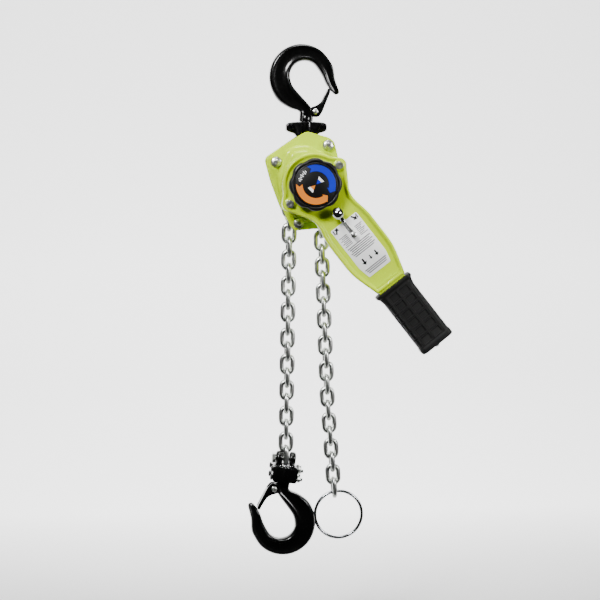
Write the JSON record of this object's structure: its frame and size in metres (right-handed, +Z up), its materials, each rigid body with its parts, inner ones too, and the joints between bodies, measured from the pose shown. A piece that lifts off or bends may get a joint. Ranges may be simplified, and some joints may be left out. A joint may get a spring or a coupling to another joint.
{
  "type": "lever chain hoist",
  "caption": "Hand-operated lever chain hoist with swivel hooks, sprung latches, link chain and end ring.",
  "frame": {"origin": "bearing point on the inner top of the top hook's bowl, where the hoist hangs", "axes": "+Z up along the hanging line, +X to the operator's right, -Y towards the operator, who faces the hand knob"},
  "size_m": [0.4246, 0.186, 1.0867],
  "materials": {
    "lime_paint": "gloss lime paint",
    "black_paint": "gloss black enamel on forged steel",
    "zinc": "bright zinc plate",
    "chrome": "polished",
    "machined_steel": "machined and oiled",
    "friction_lining": "pressed brake lining",
    "black_plastic": "satin moulded",
    "rubber": "matte moulded rubber"
  },
  "bodies": {
    "top_hook": {"top_hook": "black_paint", "top_hook_latch_pin": "zinc"},
    "top_latch": {"top_hook_latch": "black_paint"},
    "top_yoke": {"top_yoke_front": "black_paint", "top_yoke_rear": "black_paint", "top_yoke_bolt_left": "black_paint", "top_yoke_bolt_right": "black_paint"},
    "hoist_frame": {"front_side_plate": "lime_paint", "rear_side_plate": "lime_paint", "brake_cover": "lime_paint", "gear_cover": "lime_paint", "suspension_pin": "machined_steel", "stay_bolt_1": "zinc", "stay_bolt_2": "zinc", "stay_bolt_3": "zinc", "stay_nut_1": "zinc", "stay_nut_2": "zinc", "stay_nut_3": "zinc", "chain_guide": "machined_steel", "sheave_bearing_front": "chrome", "sheave_bearing_rear": "chrome", "chain_on_sheave": "zinc"},
    "sheave": {"load_sheave": "machined_steel", "load_gear": "machined_steel"},
    "drive": {"drive_shaft": "machined_steel", "brake_hub": "machined_steel", "friction_disc_front": "friction_lining", "friction_disc_rear": "friction_lining", "ratchet_wheel": "machined_steel", "change_gear": "machined_steel", "hand_knob": "black_plastic", "knob_decal": "black_plastic"},
    "gear_right": {"intermediate_gear_right": "machined_steel"},
    "gear_left": {"intermediate_gear_left": "machined_steel"},
    "pawl_1": {"ratchet_pawl_1": "machined_steel"},
    "pawl_2": {"ratchet_pawl_2": "machined_steel"},
    "lever": {"lever_case_front": "lime_paint", "lever_case_rear": "lime_paint", "lever_bolt_upper": "zinc", "lever_bolt_lower": "zinc", "lever_grip": "rubber"},
    "selector": {"selector_lever": "chrome"},
    "selector_pawl": {"selector_pawl": "machined_steel"},
    "load_upper": {"load_chain_upper": "zinc"},
    "load_middle": {"load_chain_middle": "zinc"},
    "load_lower": {"load_chain_lower": "zinc"},
    "slack_upper": {"slack_chain_upper": "zinc"},
    "slack_middle": {"slack_chain_middle": "zinc"},
    "slack_lower": {"slack_chain_lower": "zinc"},
    "end_ring": {"end_ring": "chrome"},
    "fork": {"bottom_fork": "black_paint", "chain_bolt": "zinc", "swivel_ball_ring": "chrome"},
    "bottom_block": {"bottom_block_left": "black_paint", "bottom_block_right": "black_paint", "block_bolt_1": "zinc", "block_bolt_2": "zinc", "bottom_hook": "black_paint", "bottom_hook_latch_pin": "zinc"},
    "bottom_latch": {"bottom_hook_latch": "black_paint"}
  },
  "joints": [
    {"name": "top_swivel", "type": "hinge", "parent": "top_hook", "child": "top_yoke", "pos_m": [0.003, 0, -0.14], "axis": [0, 0, 1], "continuous": true},
    {"name": "top_latch_hinge", "type": "hinge", "parent": "top_hook", "child": "top_latch", "pos_m": [0.022, 0, -0.106], "axis": [0, -1, 0], "range_deg": [0, 40], "stiffness_Nm_per_rad": 0.25, "springref_deg": -20.05},
    {"name": "suspension_swing", "type": "hinge", "parent": "top_yoke", "child": "hoist_frame", "pos_m": [0.00291, 0, -0.17157], "axis": [0, 1, 0], "range_deg": [-12, 12]},
    {"name": "sheave_turn", "type": "hinge", "parent": "hoist_frame", "child": "sheave", "pos_m": [0.013, 0, -0.26], "axis": [0, 1, 0], "continuous": true},
    {"name": "drive_turn", "type": "hinge", "parent": "hoist_frame", "child": "drive", "pos_m": [0.013, 0, -0.26], "axis": [0, 1, 0], "continuous": true},
    {"name": "gear_right_turn", "type": "hinge", "parent": "hoist_frame", "child": "gear_right", "pos_m": [0.0508, 0, -0.26], "axis": [0, 1, 0], "continuous": true},
    {"name": "gear_left_turn", "type": "hinge", "parent": "hoist_frame", "child": "gear_left", "pos_m": [-0.0248, 0, -0.26], "axis": [0, 1, 0], "continuous": true},
    {"name": "pawl_1_hinge", "type": "hinge", "parent": "hoist_frame", "child": "pawl_1", "pos_m": [-0.037, 0, -0.246], "axis": [0, -1, 0], "range_deg": [0, 14], "stiffness_Nm_per_rad": 0.05, "springref_deg": -11.46},
    {"name": "pawl_2_hinge", "type": "hinge", "parent": "hoist_frame", "child": "pawl_2", "pos_m": [0.063, 0, -0.274], "axis": [0, -1, 0], "range_deg": [0, 14], "stiffness_Nm_per_rad": 0.05, "springref_deg": -11.46},
    {"name": "lever_swing", "type": "hinge", "parent": "hoist_frame", "child": "lever", "pos_m": [0.013, 0, -0.26], "axis": [0, 1, 0], "continuous": true},
    {"name": "selector_swing", "type": "hinge", "parent": "lever", "child": "selector", "pos_m": [0.09445, 0, -0.36388], "axis": [0, 1, 0], "range_deg": [-38, 38]},
    {"name": "selector_pawl_swing", "type": "hinge", "parent": "lever", "child": "selector_pawl", "pos_m": [0.05126, 0, -0.30879], "axis": [0, 1, 0], "range_deg": [-13.3, 13.3]},
    {"name": "load_chain_swing", "type": "hinge", "parent": "hoist_frame", "child": "load_upper", "pos_m": [-0.0331, 0, -0.3556], "axis": [0, 1, 0], "range_deg": [0, 15]},
    {"name": "load_chain_fold", "type": "hinge", "parent": "load_upper", "child": "load_middle", "pos_m": [-0.03553, 0, -0.51198], "axis": [1, 0, 0], "range_deg": [-8, 20]},
    {"name": "load_chain_bend", "type": "hinge", "parent": "load_middle", "child": "load_lower", "pos_m": [-0.03833, 0, -0.68996], "axis": [0, 1, 0], "range_deg": [0, 15]},
    {"name": "chain_bolt_hinge", "type": "hinge", "parent": "load_lower", "child": "fork", "pos_m": [-0.04066, 0, -0.84573], "axis": [0.9945, 0, -0.1045], "range_deg": [-35, 35]},
    {"name": "hook_swivel", "type": "hinge", "parent": "fork", "child": "bottom_block", "pos_m": [-0.04066, 0, -0.84573], "axis": [0.1045, 0, 0.9945], "continuous": true},
    {"name": "bottom_latch_hinge", "type": "hinge", "parent": "bottom_block", "child": "bottom_latch", "pos_m": [-0.06646, 0, -0.90938], "axis": [0, -1, 0], "range_deg": [0, 40], "stiffness_Nm_per_rad": 0.25, "springref_deg": -20.05},
    {"name": "slack_chain_swing", "type": "hinge", "parent": "hoist_frame", "child": "slack_upper", "pos_m": [0.0353, 0, -0.3713], "axis": [0, 1, 0], "range_deg": [-15, 0]},
    {"name": "slack_chain_fold", "type": "hinge", "parent": "slack_upper", "child": "slack_middle", "pos_m": [0.04101, 0, -0.5276], "axis": [1, 0, 0], "range_deg": [-8, 20]},
    {"name": "slack_chain_bend", "type": "hinge", "parent": "slack_middle", "child": "slack_lower", "pos_m": [0.04815, 0, -0.70545], "axis": [0, 1, 0], "range_deg": [-15, 0]},
    {"name": "ring_hinge", "type": "hinge", "parent": "slack_lower", "child": "end_ring", "pos_m": [0.0642, 0, -0.9193], "axis": [1, 0, 0], "range_deg": [-60, 60]}
  ],
  "couplings": [
    {"joint": "drive_turn", "follows": "sheave_turn", "ratio": 9},
    {"joint": "gear_right_turn", "follows": "sheave_turn", "ratio": -3},
    {"joint": "gear_left_turn", "follows": "sheave_turn", "ratio": -3},
    {"joint": "selector_pawl_swing", "follows": "selector_swing", "ratio": -0.35}
  ]
}
